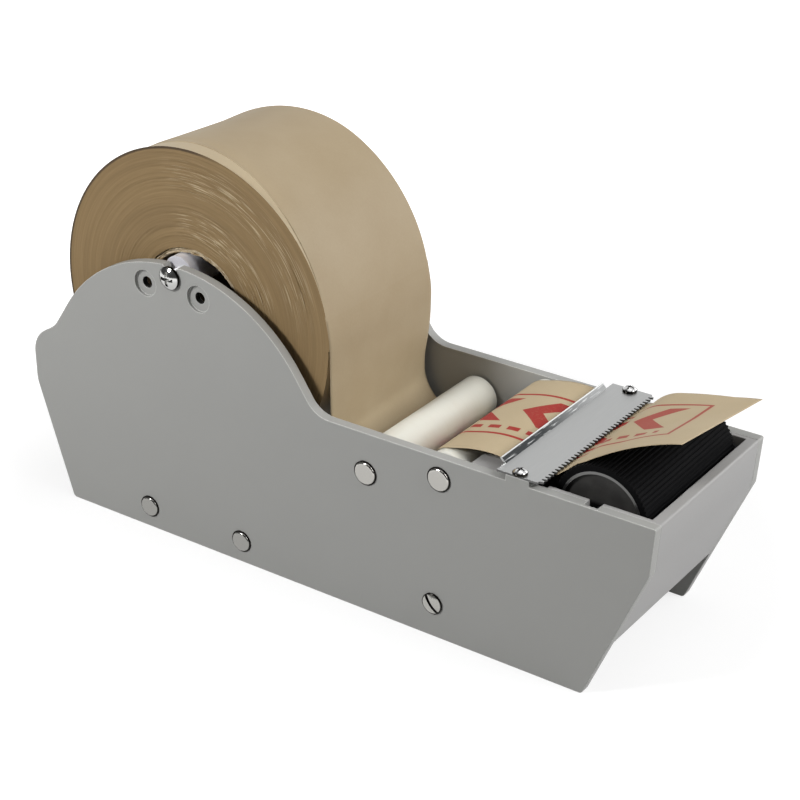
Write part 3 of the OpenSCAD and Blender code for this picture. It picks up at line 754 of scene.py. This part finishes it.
def kraft(start):
    """The outermost turn: kraft paper with fibres and a dull sheen, and the next block of red print
    on the back of the roll. The distance from the cut end grows with the angle up from the front."""
    at = place(start)
    tone, fibre = kraft_tone(at, kraft_dark, kraft_brown)
    x = part_of(at, "X") - roll_x
    z = part_of(at, "Z") - roll_z
    up = start.math("ARCTAN2", z, x) % (2 * math.pi)
    red = printed(part_of(at, "Y") + roll_half, up * roll_r - 148 * MM, fibre)
    return {
        "Base Color": mixed(red, tone, print_red),
        "Roughness": 0.46 + 0.2 * fibre,
        "Normal": relief(fibre, 0.02 * MM),
    }


def bare_kraft(start):
    """The turn below, where the outermost one has slipped off it: the same paper, painted paler as light
    on the uncovered band.
    """
    at = place(start)
    tone, fibre = kraft_tone(at, kraft_dark, kraft_brown)
    return {
        "Base Color": mixed(0.5 + 0.3 * fibre, tone, kraft_lit_pale),
        "Roughness": 0.46 + 0.2 * fibre,
        "Normal": relief(fibre, 0.02 * MM),
    }


def wound_edges(start):
    """The cut edges of the layers: fine rings that come and go round the roll, pale torn streaks over its
    upper front, and a thin line of painted shade along the rear of the rim. Rings use the distance from
    the axis, and the way round is the direction from the axis, so that no seam shows."""
    at = place(start)
    x = part_of(at, "X") - roll_x
    z = part_of(at, "Z") - roll_z
    r = (x * x + z * z) ** 0.5
    along = x / r
    up = z / r

    def rings(size, turns):
        point = at.node("CombineXYZ", {}, {"X": along * turns, "Y": r / size, "Z": up * turns})
        return at.node("TexNoise", {}, {"Vector": point, "Scale": 1.0, "Detail": 3.0})

    def ring_band(middle, width):
        return (1.4 - 1.4 * abs(r - middle) / width).clamped()

    fine = rings(0.5 * MM, 1.2)
    broad = rings(4.0 * MM, 0.8)
    torn = rings(0.45 * MM, 4.0)
    upper_front = ((along * 0.574 + up * 0.819 - 0.62) * 5).clamped()
    loose = (ring_band(0.062, 0.010) + ring_band(0.040, 0.009)).clamped() * upper_front
    streak = ((torn - 0.55) * 9).clamped() * loose
    base = mixed(((fine - 0.25) * 1.6).clamped(), paint(128, 105, 69), paint(146, 122, 85))
    base = mixed(((broad - 0.42) * 3).clamped() * 0.45, base, paint(112, 90, 58))
    base = mixed(streak * 0.68, base, paint(200, 184, 152))
    # A thin line of painted shade along the rear of the rim.
    rear = ((up * 0.5 - along * 0.87 - 0.25) * 5).clamped()
    rim_shade = ((r - (roll_r - 1.6 * MM)) / (0.5 * MM)).clamped() * rear
    return {
        "Base Color": mixed(rim_shade * 0.9, base, paint(58, 43, 26)),
        "Roughness": 0.7 + 0.15 * fine,
        "Normal": relief(fine, 0.02 * MM),
    }


winding = wound_roll()
winding.data.materials.append(finish("kraft_outside", kraft))
winding.data.materials.append(finish("wound_edges", wound_edges))
winding.data.materials.append(finish("bare_kraft", bare_kraft))
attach(winding, "paper_roll")
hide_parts("tape_roll")


# Roll core
# A tube of grey-brown board inside the winding. Its ends are torn and pale where the
# layers of board have come apart.

def core_tube():
    """A tube whose two ends are torn: rings through the board's wall, each pulled in and out at random."""
    wall = 2.5 * MM
    columns = 180
    angle = np.linspace(0, 2 * np.pi, columns + 1)
    across = np.linspace(0, 1, 6)[:, None]
    r_in = core_r - wall

    def torn(size, rough):
        knots = random.normal(size=(len(across), columns))
        smooth = (knots + np.roll(knots, 1, 1) + np.roll(knots, 2, 1)) / 3
        tear = smooth * size + random.normal(size=(len(across), columns)) * rough
        return np.concatenate([tear, tear[:, :1]], 1)

    rise = 0.5 * MM
    ragged = 0.15 * MM
    proud = 0.2 * MM
    left_y = -core_half - proud + torn(rise, ragged)
    right_y = core_half + proud + torn(rise, ragged)
    end_r = r_in + wall * across + torn(0.12 * MM, 0.05 * MM)
    end_r = np.clip(end_r, r_in, core_r)
    inside = np.linspace(0, 1, 8)[1:-1, None]
    inner_y = right_y[0] + (left_y[0] - right_y[0]) * inside
    inner_r = np.full_like(inner_y, r_in)
    outer_y = left_y[-1] + (right_y[-1] - left_y[-1]) * inside
    outer_r = np.full_like(outer_y, core_r)
    y = np.concatenate([left_y, outer_y, right_y[::-1], inner_y])
    r = np.concatenate([end_r, outer_r, end_r[::-1], inner_r])
    points = np.stack([roll_x + r * np.cos(angle), y, roll_z - r * np.sin(angle)], -1)
    faces = grid_faces(len(y), columns + 1, True)
    return solid_mesh("roll_core_board", points.reshape(-1, 3), faces, np.zeros(len(faces)))


def board(start):
    """Board: brown inside the tube and pale, fibrous and torn at its ends."""
    at = place(start)
    fibre = cloudy(at, 0.5 * MM, 5)
    x = part_of(at, "X") - roll_x
    z = part_of(at, "Z") - roll_z
    r = (x * x + z * z) ** 0.5
    torn = at.node("CombineXYZ", {}, {"X": x / r * 5, "Y": r / (0.4 * MM), "Z": z / r * 5})
    torn = at.node("TexNoise", {}, {"Vector": torn, "Scale": 1.0, "Detail": 3.0})
    end = ((abs(part_of(at, "Y")) - (core_half - 1.5 * MM)) / (1.2 * MM)).clamped()
    brown = mixed(fibre, paint(96, 78, 54), paint(128, 106, 78))
    pale = mixed(((torn - 0.42) * 5).clamped(), paint(138, 117, 84), paint(208, 194, 168))
    return {
        "Base Color": mixed(end, brown, pale),
        "Roughness": 0.8 + 0.1 * fibre,
        "Normal": relief(fibre, 0.08 * MM),
    }


core = core_tube()
core.data.materials.append(finish("core_board", board))
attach(core, "paper_roll")
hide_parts("roll_core")


# Paper strip
# The end of the roll hangs down its front, loops under the rear guide roller, goes over the front
# one and under the blade, and its free end stands up off the wetting roller with a twist.

def roller_of(node):
    """Axis point and radius of a roller that lies across the tape."""
    low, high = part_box(node)
    middle = (low + high) / 2
    return np.array([middle.x, middle.z]), (high.z - low.z) / 2


rear_guide = roller_of("rear_guide_roller")[0]
front_guide, guide_r = roller_of("front_guide_roller")
wet, wet_r = roller_of("wetting_sleeve")
wet_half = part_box("wetting_sleeve")[1].y
strip_off = 0.45 * MM
blade_depth = 21 * MM
slack_wrap = math.radians(9)
tooth_x = blade_high.x
strip_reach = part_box("tape_web")[1].x - tooth_x
strip_half = roll_half
strip_drift = plate_inner - strip_half - 1.5 * MM
paper_t = 0.2 * MM
# The strip's kraft is painted lighter than the roll's, for the light that falls on the strip.
strip_lit_brown = paint(184, 168, 138)
strip_lit_dark = paint(170, 152, 121)


def bow(middle, radius, start, end):
    """Points of an arc in side view, at most 2 degrees apart."""
    n = max(2, math.ceil(abs(end - start) / math.radians(2)))
    a = np.linspace(start, end, n + 1)
    return middle + radius * np.stack([np.cos(a), np.sin(a)], -1)


def straight(first, last, step=1.5 * MM):
    """Points of a straight run in side view, without its two ends."""
    first = np.asarray(first)
    last = np.asarray(last)
    n = max(2, math.ceil(np.linalg.norm(last - first) / step))
    return first + (last - first) * (np.arange(1, n) / n)[:, None]


def threaded_path():
    """Side view of the strip from the roll to the teeth: off the roll, straight down, a slack loop that
    meets the rear roller at a tangent, up to the front roller, over it in a low arch that is a cubic
    curve held by two points, and flat under the blade."""
    web_x = roll_x + roll_r + strip_off
    wrap_r = guide_r + strip_off
    span = front_guide - rear_guide
    rise = math.atan2(span[1], span[0]) + math.asin(2 * wrap_r / np.linalg.norm(span))
    leave = rise - math.pi / 2
    meet = leave - slack_wrap
    loop_r = (rear_guide[0] - web_x + wrap_r * math.cos(meet)) / (1 + math.cos(meet))
    loop = rear_guide - (loop_r - wrap_r) * np.array([math.cos(meet), math.sin(meet)])
    under_blade = np.array([tooth_x - blade_depth, blade_low.z - strip_off])
    top = math.radians(107)
    peel = np.radians(np.linspace(12, 0, 13))
    sunk_in = 0.15 * MM
    peel_r = roll_r - sunk_in + (strip_off + sunk_in) * eased_step(-peel, -peel[0], 0)
    off_roll = np.stack([roll_x + peel_r * np.cos(peel), roll_z + peel_r * np.sin(peel)], -1)
    loop_arc = bow(loop, loop_r, math.pi, 2 * math.pi + meet)
    rear_arc = bow(rear_guide, wrap_r, meet + slack_wrap / 2, leave)
    front_arc = bow(front_guide, wrap_r, rise + math.pi / 2, top)
    dive = math.radians(-14)
    pull = (under_blade[0] - front_arc[-1, 0]) * 0.36
    t = np.linspace(0, 1, 25)[1:-1, None]
    held_1 = front_arc[-1] + pull * np.array([math.sin(top), -math.cos(top)])
    held_2 = under_blade - pull * np.array([math.cos(dive), math.sin(dive)])
    arch = ((1 - t) ** 3 * front_arc[-1] + 3 * (1 - t) ** 2 * t * held_1
            + 3 * (1 - t) * t * t * held_2 + t ** 3 * under_blade)
    teeth = under_blade + [blade_depth, 0]
    return np.concatenate([
        off_roll, straight(off_roll[-1], loop_arc[0]), loop_arc, rear_arc,
        straight(rear_arc[-1], front_arc[0]), front_arc, arch,
        [under_blade], straight(under_blade, teeth), [teeth]])


def free_end(teeth, reach, slope, rise, count=44):
    """One edge of the free end: a parabola that leaves the teeth at a slope and ends at a reach and
    a rise."""
    u = np.arange(1, count + 1) / count
    z = teeth[1] + reach * slope * u + (rise - reach * slope) * u * u
    return np.stack([teeth[0] + reach * u, z], -1)


def over_roller(x, y, z):
    """Lifts paper that would sink into the wetting roller on to its top. Just before the tangent from the
    paper's end it leaves the roller and goes on in a parabola to that end. Beyond the roller's end the
    paper falls away from that height at a slope of 1.3."""
    off = wet_r + 0.25 * MM
    past_end = np.clip(abs(y) - wet_half - 0.6 * MM, 0, None)
    middle = wet[1] - 1.3 * past_end
    top = middle + np.sqrt(np.clip(off * off - (x - wet[0]) ** 2, 0, None))
    end_x = x[-1] - wet[0]
    end_z = z[-1] - middle[-1]
    early = math.radians(4.5)
    leave = np.arctan2(end_z, end_x) + np.arccos(off / np.hypot(end_x, end_z)) + early
    leave_x = off * np.cos(leave)
    leave_z = middle + off * np.sin(leave)
    slope = -1 / np.tan(leave)
    run = end_x - leave_x
    bend = (leave_z + slope * run - z[-1]) / run ** 2
    gone = x - wet[0] - leave_x
    onward = leave_z + slope * gone - bend * gone ** 2
    lifted = np.maximum(z, np.where(gone < 0, top, onward))
    return np.where(x > tooth_x, lifted, z)


def length_along(line):
    """Distance of each point of a line from its last point, along the line."""
    steps = np.linalg.norm(np.diff(line, axis=0), axis=1)
    done = np.concatenate([[0], np.cumsum(steps)])
    return done[-1] - done


def paper_strip():
    """The strip as straight lines from its left edge to its right one, with the way across and the
    distance from the free end kept on its points for the print. Below the roll its right side swings
    back under the roll by a bell curve over the height."""
    path = threaded_path()
    left_rise = 30.6 * MM
    right_rise = 17.5 * MM
    right_short = 2 * MM
    left = np.concatenate([path, free_end(path[-1], strip_reach, 0.87, left_rise)])
    right = np.concatenate([path, free_end(path[-1], strip_reach - right_short, 0.5, right_rise)])
    across = np.linspace(0, 1, 49)
    drift = strip_drift * np.clip((left[:, 0] - front_guide[0]) / (tooth_x - front_guide[0]), 0, 1)
    drift[:len(path) // 2] = 0
    flat = left[:, None] * (1 - across[:, None]) + right[:, None] * across[:, None]
    y = -strip_half + 2 * strip_half * across + drift[:, None]
    x = flat[..., 0]
    z = over_roller(x, y, flat[..., 1])
    hanging = (x < rear_guide[0]) & (np.arange(len(left)) < len(path) // 2)[:, None]
    swing_z = roll_z - 36 * MM
    swing_half = 17 * MM
    swing_far = 3.4 * MM
    swing = np.exp(-((z - swing_z) / swing_half) ** 2) * across ** 1.5 * swing_far
    points = np.stack([x - np.where(hanging, swing, 0), y, z], -1)
    away = length_along(left)[:, None] * (1 - across) + length_along(right)[:, None] * across
    faces = grid_faces(len(left), len(across), False)[:, ::-1]
    mesh = bpy.data.meshes.new("paper_strip")
    mesh.from_pydata(points.reshape(-1, 3), [], faces)
    layer = mesh.uv_layers.new(name="strip")
    way = np.broadcast_to(2 * strip_half * across, away.shape)
    layer.data.foreach_set("uv", np.stack([way, away], -1).reshape(-1, 2)[faces.reshape(-1)].ravel())
    mesh.polygons.foreach_set("use_smooth", np.ones(len(mesh.polygons), bool))
    piece = bpy.data.objects.new("paper_strip", mesh)
    bpy.context.scene.collection.objects.link(piece)
    return piece, float(away[0].mean())


def printed_kraft(start):
    """The strip's outer face: kraft paper with the red print, which is painted paler on the free end as
    sheen in the glancing light. The strip's tone is painted lighter than the roll's for the light that
    falls on it, and near the roll the paper takes the roll's tone."""
    at = place(start)
    uv = start.node("UVMap", {"uv_map": "strip"})
    away = part_of(uv, "Y")
    tone, fibre = kraft_tone(at, strip_lit_dark, strip_lit_brown)
    roll_tone, fibre = kraft_tone(at, kraft_dark, kraft_brown)
    tone = mixed(((away - (strip_l - 75 * MM)) / (60 * MM)).clamped(), tone, roll_tone)
    # The print on the free end is painted paler, as sheen in the glancing light.
    free_end_sheen_l = 56 * MM
    free_end_sheen = ((free_end_sheen_l - away) / (8 * MM)).clamped()
    red = printed(part_of(uv, "X"), away, fibre) * (1 - 0.1 * free_end_sheen)
    return {
        "Base Color": mixed(red, tone, print_red),
        "Roughness": 0.55 + 0.2 * fibre,
        "Normal": relief(fibre, 0.02 * MM),
    }


def gummed(start):
    """The gummed inner face: kraft that shows through a thin smooth glaze, in the strip's tone that is
    painted lighter for the light on it.
    """
    tone, fibre = kraft_tone(place(start), strip_lit_dark, strip_lit_brown)
    return {"Base Color": tone, "Roughness": 0.36 + 0.2 * fibre, "Normal": relief(fibre, 0.01 * MM)}


strip, strip_l = paper_strip()
strip.data.materials.append(finish("printed_kraft", printed_kraft))
strip.data.materials.append(finish("gummed_kraft", gummed))
shell = strip.modifiers.new("paper_thickness", "SOLIDIFY")
shell.thickness = paper_t
shell.offset = 0
shell.material_offset = 1
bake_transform(strip)
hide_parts("tape_web")


# Floor and light
# A white floor, soft lamps above, beside, in front and behind, and an even white room.

def ray_is(start, *kinds):
    """1 for a ray of one of these kinds, and 0 for any other."""
    found = [start.node("LightPath", {}, {}, f"Is {kind} Ray") for kind in kinds]
    return sum(found[1:], found[0]).clamped()


def white_floor():
    """A flat floor that the camera and the metal see as white, with the object's soft shadow on it.
    Its glow grows with the distance from the object, so that it stays white beyond the lamps."""
    half = 1.2
    mesh = bpy.data.meshes.new("floor")
    corners = [(-half, -half, 0), (half, -half, 0), (half, half, 0), (-half, half, 0)]
    mesh.from_pydata(corners, [], [(0, 1, 2, 3)])
    floor = bpy.data.objects.new("floor", mesh)
    bpy.context.scene.collection.objects.link(floor)
    made = bpy.data.materials.new("white_floor")
    made.use_nodes = True
    made.node_tree.nodes.clear()
    start = Wire(made.node_tree)
    seen = ray_is(start, "Camera", "Glossy", "Transmission")
    matt = start.node("BsdfDiffuse", {}, {"Color": (0.32, 0.32, 0.32, 1)})
    at = place(start)
    far = start.node("VectorMath", {"operation": "LENGTH"}, {0: at}, "Value")
    far = ((far - 0.18) / 0.3).clamped()
    glow = start.node("Emission", {}, {"Color": (1, 1, 1, 1), "Strength": seen * (0.72 + 0.55 * far)})
    start.node("OutputMaterial", {}, {"Surface": start.node("AddShader", {}, {0: matt, 1: glow})})
    mesh.materials.append(made)


def soft_lamp(name, place_at, aim, size, power):
    """A square area lamp turned towards a point."""
    data = bpy.data.lights.new(name, "AREA")
    data.size = size
    data.energy = power
    lamp = bpy.data.objects.new(name, data)
    lamp.location = place_at
    lamp.rotation_euler = (Vector(aim) - Vector(place_at)).to_track_quat("-Z", "Y").to_euler()
    bpy.context.scene.collection.objects.link(lamp)


def white_room():
    """A world that lights the object evenly. The camera sees it white, and the metal sees it white behind
    the object and dim on the camera's side, by the upward and sideward parts of the direction."""
    world = bpy.data.worlds.new("room")
    bpy.context.scene.world = world
    world.use_nodes = True
    world.node_tree.nodes.clear()
    start = Wire(world.node_tree)
    camera_ray = ray_is(start, "Camera")
    mirror_ray = ray_is(start, "Glossy", "Transmission")
    way = start.node("TexCoord", {}, {}, "Generated")
    dim = ((part_of(way, "Z") + 0.25) / 0.2).clamped() * ((0.25 - part_of(way, "Y")) / 0.4).clamped()
    room_light = 0.11
    mirrored = 1 - 0.92 * dim
    strength = room_light + (mirrored - room_light) * mirror_ray
    strength = strength + (1 - strength) * camera_ray
    even = start.node("Background", {}, {"Color": (1, 1, 1, 1), "Strength": strength})
    start.node("OutputWorld", {}, {"Surface": even})


white_floor()
white_room()
soft_lamp("side_lamp", (-0.42, -0.8, 0.65), (0, 0, 0.08), 0.22, 8.3)
soft_lamp("front_lamp", (1.06, 0.15, 0.8), (0.05, 0, 0.08), 0.8, 13.8)
soft_lamp("top_lamp", (0.1, 0.0, 1.5), (0, 0, 0.08), 1.0, 3.2)
soft_lamp("back_lamp", (0.5, 1.1, 0.45), (0, 0, 0.08), 0.6, 2.5)


# Camera
# It stands in front of the left plate's front corner and looks down on the dispenser.

camera_data = bpy.data.cameras.new("camera")
camera_data.sensor_width = 36
camera_data.lens = 88.7
camera = bpy.data.objects.new("camera", camera_data)
camera.location = (0.4577, -0.6360, 0.4770)
aim = Vector((0.01118, 0, 0.0796))
camera.rotation_euler = (aim - camera.location).to_track_quat("-Z", "Y").to_euler()
bpy.context.scene.collection.objects.link(camera)
bpy.context.scene.camera = camera
bpy.context.scene.view_settings.view_transform = "Standard"
